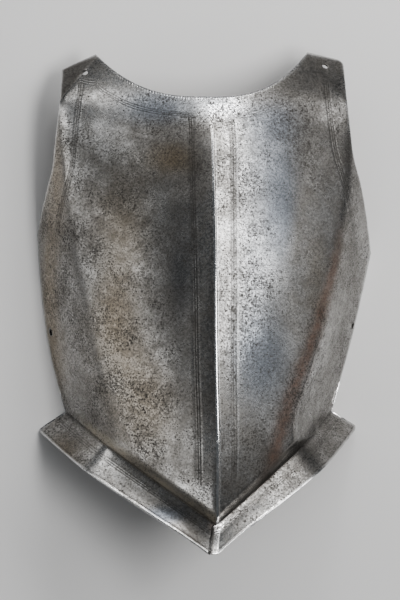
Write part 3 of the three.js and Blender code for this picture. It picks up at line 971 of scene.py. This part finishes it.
class Wiring:
    """Adds nodes to a tree and joins them up."""

    def __init__(self, tree):
        self.tree = tree

    def add(self, kind, inputs=None, **settings):
        made = self.tree.nodes.new(kind)
        for key, value in settings.items():
            setattr(made, key, value)
        for key, value in (inputs or {}).items():
            self.feed(made.inputs[key], value)
        return made

    def feed(self, socket, value):
        """Links a socket to another, or sets its value."""
        if isinstance(value, bpy.types.NodeSocket):
            self.tree.links.new(value, socket)
        else:
            socket.default_value = rgba(value) if socket.type == "RGBA" else value

    def math(self, operation, a, b=0.0):
        return self.add("ShaderNodeMath", {0: a, 1: b}, operation=operation).outputs[0]

    def times(self, a, b):
        return self.math("MULTIPLY", a, b)

    def plus(self, a, b):
        return self.math("ADD", a, b)

    def minus(self, a, b):
        return self.math("SUBTRACT", a, b)

    def highest(self, a, b, *others):
        made = self.math("MAXIMUM", a, b)
        return self.highest(made, *others) if others else made

    def attribute(self, name):
        return self.add("ShaderNodeAttribute", attribute_name=name).outputs["Fac"]

    def noise(self, where, scale, detail=4.0, roughness=0.55, distortion=0.0):
        inputs = {"Vector": where, "Scale": scale, "Detail": detail, "Roughness": roughness,
                  "Distortion": distortion}
        return self.add("ShaderNodeTexNoise", inputs).outputs["Fac"]

    def ramp(self, value, low, high, to_low=0.0, to_high=1.0):
        inputs = {"Value": value, "From Min": low, "From Max": high, "To Min": to_low, "To Max": to_high}
        return self.add("ShaderNodeMapRange", inputs, interpolation_type="SMOOTHSTEP").outputs[0]

    def mix(self, share, a, b):
        made = self.add("ShaderNodeMix", data_type="RGBA", blend_type="MIX")
        self.feed(made.inputs["Factor"], share)
        self.feed(made.inputs[6], a)
        self.feed(made.inputs[7], b)
        return made.outputs[2]


def new_group(name, inputs, outputs):
    """An empty shader group with named sockets: {name: (socket type, default)} and {name: socket type}."""
    tree = bpy.data.node_groups.new(name, "ShaderNodeTree")
    for socket, (kind, default) in inputs.items():
        made = tree.interface.new_socket(socket, in_out="INPUT", socket_type=kind)
        if default is not None:
            made.default_value = default
    for socket, kind in outputs.items():
        tree.interface.new_socket(socket, in_out="OUTPUT", socket_type=kind)
    wiring = Wiring(tree)
    return wiring, wiring.add("NodeGroupInput").outputs, wiring.add("NodeGroupOutput").inputs


FLOAT, VECTOR = "NodeSocketFloat", "NodeSocketVector"

# How fine each pattern of the steel is, in repeats to the metre.
FINENESS = {"clouds": 13, "crowds": 20, "grime": 60, "mottling": 75, "worn": 90, "silt": 110, "rust": 120,
            "pits": 340, "grain": 470, "dots": 520, "flecks": 620, "strokes": 600, "streaks": 900}
# The ticks filed along the neck edge: how far each millimetre of it turns their wave, in radians.
TICK_TURN = 2.4


def pitting_group():
    """Rust pits that gather in clusters, round and ragged specks, and a fine grain of light and dark."""
    if "Pitting" in bpy.data.node_groups:
        return bpy.data.node_groups["Pitting"]
    w, given, out = new_group("Pitting", {"Vector": (VECTOR, None), "Amount": (FLOAT, 0.5)},
                              {"Pits": FLOAT, "Specks": FLOAT, "Grain": FLOAT})
    where = given["Vector"]
    crowd = w.noise(where, FINENESS["crowds"], 5.0, 0.65)
    crowd = w.plus(crowd, w.times(w.minus(given["Amount"], 0.5), 0.4))
    pits = w.minus(w.noise(where, FINENESS["pits"], 3.0, 0.6), w.ramp(crowd, 0.40, 0.70, 0.69, 0.56))
    dots = w.add("ShaderNodeTexVoronoi", {"Vector": where, "Scale": FINENESS["dots"]}).outputs
    size = w.plus(crowd, w.times(w.minus(dots["Color"], 0.5), 0.6))
    specks = w.minus(w.ramp(size, 0.34, 0.86, -0.05, 0.52), dots["Distance"])
    flecks = w.minus(w.noise(where, FINENESS["flecks"], 2.0, 0.6), w.ramp(crowd, 0.32, 0.66, 0.60, 0.47))
    flecks = w.times(w.ramp(flecks, -0.05, 0.12), 0.58)
    w.feed(out["Pits"], w.ramp(pits, 0.0, 0.05))
    w.feed(out["Specks"], w.highest(w.ramp(specks, -0.12, 0.12), flecks))
    w.feed(out["Grain"], w.ramp(w.noise(where, FINENESS["grain"], 3.0, 0.75), 0.38, 0.62))
    return w.tree


def patina_group():
    """The cloudy tarnish of old steel: a mask of tarnish and a finer mottling."""
    if "Patina" in bpy.data.node_groups:
        return bpy.data.node_groups["Patina"]
    w, given, out = new_group("Patina", {"Vector": (VECTOR, None), "Amount": (FLOAT, 0.5)},
                              {"Tarnish": FLOAT, "Mottling": FLOAT})
    where = given["Vector"]
    clouds = w.noise(where, FINENESS["clouds"], 6.0, 0.6, 0.3)
    mottle = w.noise(where, FINENESS["mottling"], 5.0, 0.66, 0.2)
    tarnish = w.ramp(w.plus(clouds, w.times(given["Amount"], 0.3)), 0.42, 0.84)
    w.feed(out["Tarnish"], tarnish)
    w.feed(out["Mottling"], w.ramp(mottle, 0.34, 0.68))
    return w.tree


def scratches_group():
    """Fine polishing marks along the plate's length."""
    if "Polishing marks" in bpy.data.node_groups:
        return bpy.data.node_groups["Polishing marks"]
    w, given, out = new_group("Polishing marks", {"Vector": (VECTOR, None)}, {"Height": FLOAT})
    along_plate = w.add("ShaderNodeMapping", {"Vector": given["Vector"], "Scale": (1.0, 0.06, 1.0)})
    streaks = w.noise(along_plate.outputs[0], FINENESS["streaks"], 3.0, 0.6)
    across_plate = w.add("ShaderNodeMapping", {"Vector": given["Vector"], "Rotation": (0, 0, 1.1),
                                               "Scale": (1.0, 0.05, 1.0)})
    strokes = w.noise(across_plate.outputs[0], FINENESS["strokes"], 2.0, 0.5)
    w.feed(out["Height"], w.plus(w.times(streaks, 0.6), w.times(strokes, 0.4)))
    return w.tree


def place_group(w, tree, **inputs):
    made = w.add("ShaderNodeGroup", node_tree=tree)
    for name, value in inputs.items():
        w.feed(made.inputs[name.title()], value)
    return made.outputs


def new_material(name):
    material = bpy.data.materials.new(name)
    material.use_nodes = True
    material.node_tree.nodes.clear()
    w = Wiring(material.node_tree)
    shader = w.add("ShaderNodeBsdfPrincipled")
    w.add("ShaderNodeOutputMaterial", {"Surface": shader.outputs[0]})
    where = w.add("ShaderNodeTexCoord").outputs["Object"]
    return material, w, shader, where


def outer_steel(finish):
    """Old polished steel: tarnished, pitted, dark in its engraving, bright where it is rubbed, with painted
    highlights along the keel, painted shade in the waist fold, the split and the right hollow above the fold,
    and painted light in the left one.
    """
    material, w, shader, where = new_material("Polished steel")
    # dark and brown carry real stain and patina together with painted shade, painted highlights and a painted
    # bluish reflection; dark also spreads the tarnish.
    dark, brown = w.attribute("dark"), w.attribute("brown")
    pitting = w.plus(w.attribute("pitted"), finish.pitting)
    pits = place_group(w, pitting_group(), vector=where, amount=pitting)
    patina = place_group(w, patina_group(), vector=where, amount=w.plus(dark, finish.tarnish))
    marks = place_group(w, scratches_group(), vector=where)

    color = w.mix(w.times(patina["Tarnish"], 0.62), finish.steel, finish.patina)
    color = w.mix(w.times(patina["Mottling"], 0.45), color, finish.patina)
    color = w.mix(w.ramp(brown, 0.05, 0.8, 0.0, 0.75), color, finish.brown)
    # Painted reflection: the blue-grey where brown is below 0.
    color = w.mix(w.ramp(brown, -0.05, -0.5, 0.0, 0.6), color, finish.blue)
    shade = w.times(w.ramp(dark, -0.8, 0.8, 1.5, 0.45), w.ramp(pits["Grain"], 0.0, 1.0, 0.78, 1.12))
    color = w.add("ShaderNodeVectorMath", {0: color, "Scale": shade}, operation="SCALE").outputs[0]
    rust_noise = w.ramp(w.noise(where, FINENESS["rust"], 4.0, 0.7), 0.3, 0.65, 0.45, 1.0)
    rust = w.times(w.attribute("rust"), rust_noise)
    color = w.mix(w.times(rust, 0.62), color, finish.rust)
    # Painted light: the left hollow above the waist fold, tan and matt.
    silt = w.times(w.attribute("silt"), w.ramp(w.noise(where, FINENESS["silt"]), 0.25, 0.65, 0.35, 0.9))
    color = w.mix(silt, color, finish.silt)
    # Rubbed rims, with painted highlights along the keel's crest and past the right strip.
    worn = w.times(w.attribute("worn"), w.ramp(w.noise(where, FINENESS["worn"]), 0.3, 0.6, 0.6, 1.0))
    pit_mask = w.highest(w.times(pits["Pits"], 0.85), w.times(pits["Specks"], 0.76))
    pit_mask = w.times(pit_mask, w.minus(1.0, w.times(worn, 0.9)))
    color = w.mix(pit_mask, color, finish.pit)
    # Dirt in the engraving, and painted shade in the fold, along the split and in the right hollow above the
    # fold.
    grime = w.times(w.attribute("grime"), w.ramp(w.noise(where, FINENESS["grime"]), 0.25, 0.6, 0.55, 0.95))
    color = w.mix(grime, color, finish.grime)
    color = w.mix(w.times(worn, 0.75), color, finish.bright)
    w.feed(shader.inputs["Base Color"], color)

    rough = w.plus(finish.roughness, w.times(patina["Tarnish"], 0.10))
    rough = w.plus(rough, w.times(patina["Mottling"], 0.07))
    rough = w.plus(rough, w.times(w.highest(pit_mask, rust, silt), 0.28))
    rough = w.minus(rough, w.times(worn, 0.10))
    w.feed(shader.inputs["Roughness"], rough)
    rusted = w.highest(w.times(pit_mask, 0.5), w.times(rust, 0.6))
    # Dirt and painted shade dull the metal, and the painted light on the left hollow makes it matt.
    dirt_shade_and_light = w.highest(w.times(grime, 0.5), w.times(silt, 0.75))
    w.feed(shader.inputs["Metallic"], w.minus(1.0, w.highest(rusted, dirt_shade_and_light)))

    tick = w.math("SINE", w.times(w.attribute("neck_run"), TICK_TURN))
    ticks = w.times(w.ramp(tick, 0.2, 0.9), w.attribute("neck_rim"))
    height = w.plus(w.times(marks["Height"], 0.05), w.times(patina["Mottling"], 0.10))
    height = w.minus(height, w.times(pits["Pits"], 0.35))
    height = w.minus(height, w.times(ticks, 0.8))
    bump = w.add("ShaderNodeBump", {"Height": height, "Strength": 0.2, "Distance": 0.0005})
    w.feed(shader.inputs["Normal"], bump.outputs[0])
    return material


def inner_steel(finish):
    """The hollow side, left dark and rough from the forge."""
    material, w, shader, where = new_material("Forge-dark steel")
    pits = place_group(w, pitting_group(), vector=where, amount=0.75)
    patina = place_group(w, patina_group(), vector=where, amount=0.8)
    color = w.mix(patina["Tarnish"], finish.patina, finish.forge)
    color = w.mix(w.times(patina["Mottling"], 0.35), color, finish.rust)
    color = w.mix(w.times(pits["Pits"], 0.8), color, finish.pit)
    w.feed(shader.inputs["Base Color"], color)
    w.feed(shader.inputs["Roughness"], w.plus(0.5, w.times(patina["Tarnish"], 0.15)))
    w.feed(shader.inputs["Metallic"], w.minus(1.0, w.times(patina["Tarnish"], 0.25)))
    height = w.minus(w.times(patina["Mottling"], 0.4), w.times(pits["Pits"], 0.6))
    bump = w.add("ShaderNodeBump", {"Height": height, "Strength": 0.6, "Distance": 0.0008})
    w.feed(shader.inputs["Normal"], bump.outputs[0])
    return material


# ---- The studio ------------------------------------------------------------

LIGHT_DISTANCE = 1.7
LIGHT_AIM = Vector((0, 0, 0.08))

# The soft lights: degrees round from +x and down from overhead, and width and height in metres.
LIGHTS = [
    # name, azimuth, zenith, width, height, power
    ("Overhead softbox", 5, 24, 1.00, 0.40, "overhead_power"),
    ("Right softbox", 31, 50, 1.40, 0.47, "right_power"),
    ("Right fill", 0, 66, 1.60, 0.70, "fill_power"),
    ("Shoulder softbox", 66, 58, 0.40, 0.26, "shoulder_power"),
    ("Neck softbox", 84, 65, 0.42, 0.28, "neck_power"),
    ("Head softbox", 117, 59, 1.40, 0.40, "head_power"),
    ("Left softbox", 195, 70, 2.10, 0.90, "left_power"),
    ("Left fill", 157, 57, 0.60, 0.28, "left_fill_power"),
]


def softbox(name, azimuth, zenith, size, power):
    """A soft light that faces the plate."""
    data = bpy.data.lights.new(name, "AREA")
    data.shape = "RECTANGLE"
    data.size, data.size_y = size
    data.energy = power
    lamp = bpy.data.objects.new(name, data)
    around, down = math.radians(azimuth), math.radians(zenith)
    away = Vector((math.sin(down) * math.cos(around), math.sin(down) * math.sin(around), math.cos(down)))
    lamp.location = LIGHT_DISTANCE * away + LIGHT_AIM
    lamp.rotation_euler = (-away).to_track_quat("-Z", "Y").to_euler()
    bpy.context.scene.collection.objects.link(lamp)


def floor_material(color):
    """A matt floor with faint clouds in it."""
    material, w, shader, where = new_material("Pale floor")
    cloud = w.ramp(w.noise(where, 1.3, 3.0), 0.3, 0.7, 0.0, 1.0)
    darker = tuple(0.95 * channel for channel in tuple(color)[:3])
    w.feed(shader.inputs["Base Color"], w.mix(cloud, color, darker))
    shader.inputs["Roughness"].default_value = 0.85
    return material


def make_stage(studio):
    """The floor, the light and the camera."""
    bpy.ops.object.select_all(action="DESELECT")
    bpy.ops.mesh.primitive_plane_add(size=8, location=(0, 0, CAD_LOW.z))
    floor = bpy.context.object
    floor.name = floor.data.name = "Studio floor"
    floor.data.materials.append(floor_material(studio.floor_color))

    world = bpy.data.worlds.new("Studio")
    world.use_nodes = True
    background = world.node_tree.nodes["Background"]
    background.inputs["Color"].default_value = rgba(studio.ambient_color)
    background.inputs["Strength"].default_value = studio.ambient
    bpy.context.scene.world = world
    bpy.context.scene.view_settings.view_transform = "AgX"
    bpy.context.scene.view_settings.look = "AgX - High Contrast"

    for name, azimuth, zenith, width, height, power in LIGHTS:
        softbox(name, azimuth, zenith, (width, height), getattr(studio, power))

    data = bpy.data.cameras.new("Studio camera")
    camera = bpy.data.objects.new("Studio camera", data)
    camera.location = studio.camera_place
    ahead = (Vector(studio.camera_target) - camera.location).normalized()
    right = ahead.cross(Vector((0, 1, 0))).normalized()
    camera.rotation_euler = Matrix((right, right.cross(ahead), -ahead)).transposed().to_euler()
    data.angle = studio.camera_angle
    bpy.context.scene.collection.objects.link(camera)
    bpy.context.scene.camera = camera


# ---- The add-on ------------------------------------------------------------

def length(label, text, value):
    return bpy.props.FloatProperty(name=label, description=text, default=value, unit="LENGTH", min=0)


def tint(label, text, value):
    return bpy.props.FloatVectorProperty(name=label, description=text, default=value, subtype="COLOR",
                                         size=3, min=0, max=1)


def position(label, text, value):
    return bpy.props.FloatVectorProperty(name=label, description=text, default=value,
                                         subtype="TRANSLATION", size=3)


def amount(label, text, value, most=1.0):
    return bpy.props.FloatProperty(name=label, description=text, default=value, min=0, max=most)


class BreastplateSizes(bpy.types.PropertyGroup):
    thickness: length("Thickness", "Thickness of the plate", 2.2 * MM)
    engraving_depth: length("Engraving depth", "How deep the engraved lines are cut", 0.15 * MM)
    hammer_depth: length("Hammer marks", "How deep the planishing marks are", 0.30 * MM)
    nick_depth: length("Edge nicks", "How deep the flange's edge is nicked", 0.7 * MM)
    split_width: length("Split width", "How wide the split in the flange's point gapes", 1.0 * MM)
    edge_round: length("Edge rounding", "How much the rim's sharp edges are broken", 0.4 * MM)
    strap_hole_radius: length("Shoulder hole radius", "Radius of the two shoulder holes", 2.9 * MM)
    side_hole_radius: length("Side hole radius", "Radius of the two side holes", 3.0 * MM)


class BreastplateFinish(bpy.types.PropertyGroup):
    steel: tint("Steel", "Clean steel between the marks", (0.58, 0.572, 0.562))
    # Also the painted highlight along the keel's crest and the fine line beside the right strip.
    bright: tint("Rubbed steel", "Steel at the keel and the rims", (0.86, 0.86, 0.86))
    patina: tint("Patina", "The grey-brown tarnish", (0.195, 0.180, 0.160))
    brown: tint("Brown stain", "The yellowish-brown stains", (0.34, 0.27, 0.18))
    # The blue-grey stain colour is a painted bluish reflection.
    blue: tint("Blue stain", "The blue-grey stains", (0.30, 0.34, 0.40))
    rust: tint("Rust", "Rust along the right crease", (0.17, 0.085, 0.05))
    # Painted light: a tan, matt colour that makes the hollow above the left of the waist fold look lit.
    silt: tint("Silt", "Tan dust in the hollow above the left of the waist fold", (0.48, 0.43, 0.35))
    pit: tint("Pits", "The bottoms of the pits", (0.06, 0.055, 0.05))
    # Also painted shade in the waist fold, along the split and in the hollow above the right of the waist
    # fold.
    grime: tint("Grime", "Dirt in the engraved lines and the fold", (0.05, 0.045, 0.04))
    forge: tint("Forge scale", "The dark hollow side", (0.12, 0.11, 0.10))
    roughness: amount("Roughness", "How dull the clean steel is", 0.18)
    tarnish: amount("Tarnish", "How much of the plate is tarnished", 0.45)
    pitting: amount("Pitting", "How thickly the plate is pitted", 0.55)


class BreastplateStudio(bpy.types.PropertyGroup):
    floor_color: tint("Floor", "Colour of the floor", (0.80, 0.79, 0.78))
    ambient_color: tint("Room light", "Colour of the light from the room", (0.9, 0.95, 1.0))
    ambient: amount("Room light strength", "Strength of the light from the room", 0.12, 5)
    overhead_power: amount("Overhead softbox", "Power of the softbox over the plate, in watts", 12, 500)
    right_power: amount("Right softbox", "Power of the softbox at the right, in watts", 6.2, 500)
    fill_power: amount("Right fill", "Power of the low soft light at the right, in watts", 1.2, 500)
    shoulder_power: amount("Shoulder softbox", "Power of the softbox past the shoulder, in watts", 1.8, 500)
    neck_power: amount("Neck softbox", "Power of the small softbox above the neck, in watts", 4.6, 500)
    head_power: amount("Head softbox", "Power of the softbox above the left shoulder, in watts", 1.7, 500)
    left_power: amount("Left softbox", "Power of the softbox at the left, in watts", 5.0, 500)
    left_fill_power: amount("Left fill", "Power of the dim light above the left softbox, in watts", 0.2, 500)
    camera_place: position("Camera", "Where the camera is", (-0.0996, -0.0039, 1.85))
    camera_target: position("Camera target", "What the camera looks at", (-0.0076, -0.0039, 0.06))
    camera_angle: bpy.props.FloatProperty(name="Camera angle", description="Field of view of the long side",
                                          default=math.radians(17.52), subtype="ANGLE")


class BREASTPLATE_OT_plate(bpy.types.Operator):
    """Models the breastplate over its solid"""
    bl_idname = "breastplate.plate"
    bl_label = "Build breastplate"

    def execute(self, context):
        scene = context.scene
        plate = make_breastplate(scene.breastplate_sizes, scene.breastplate_finish)
        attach(plate, "root")
        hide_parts(NODE)
        return {"FINISHED"}


class BREASTPLATE_OT_stage(bpy.types.Operator):
    """Lays the floor, lights it softly and sets up the camera"""
    bl_idname = "breastplate.stage"
    bl_label = "Build studio"

    def execute(self, context):
        make_stage(context.scene.breastplate_studio)
        return {"FINISHED"}


class BREASTPLATE_PT_panel(bpy.types.Panel):
    """Sizes, finish and studio of the breastplate"""
    bl_idname = "BREASTPLATE_PT_panel"
    bl_label = "Steel breastplate"
    bl_space_type = "VIEW_3D"
    bl_region_type = "UI"
    bl_category = "Breastplate"

    def draw(self, context):
        for group in (context.scene.breastplate_sizes, context.scene.breastplate_finish,
                      context.scene.breastplate_studio):
            box = self.layout.box()
            for name in group.bl_rna.properties.keys():
                if name not in ("rna_type", "name"):
                    box.prop(group, name)
        self.layout.operator(BREASTPLATE_OT_plate.bl_idname)
        self.layout.operator(BREASTPLATE_OT_stage.bl_idname)


CLASSES = (BreastplateSizes, BreastplateFinish, BreastplateStudio, BREASTPLATE_OT_plate,
           BREASTPLATE_OT_stage, BREASTPLATE_PT_panel)


def register():
    for cls in CLASSES:
        bpy.utils.register_class(cls)
    bpy.types.Scene.breastplate_sizes = bpy.props.PointerProperty(type=BreastplateSizes)
    bpy.types.Scene.breastplate_finish = bpy.props.PointerProperty(type=BreastplateFinish)
    bpy.types.Scene.breastplate_studio = bpy.props.PointerProperty(type=BreastplateStudio)


def unregister():
    del bpy.types.Scene.breastplate_studio
    del bpy.types.Scene.breastplate_finish
    del bpy.types.Scene.breastplate_sizes
    for cls in reversed(CLASSES):
        bpy.utils.unregister_class(cls)


def main():
    register()
    bpy.ops.breastplate.plate()
    bpy.ops.breastplate.stage()


if __name__ == "__main__":
    main()
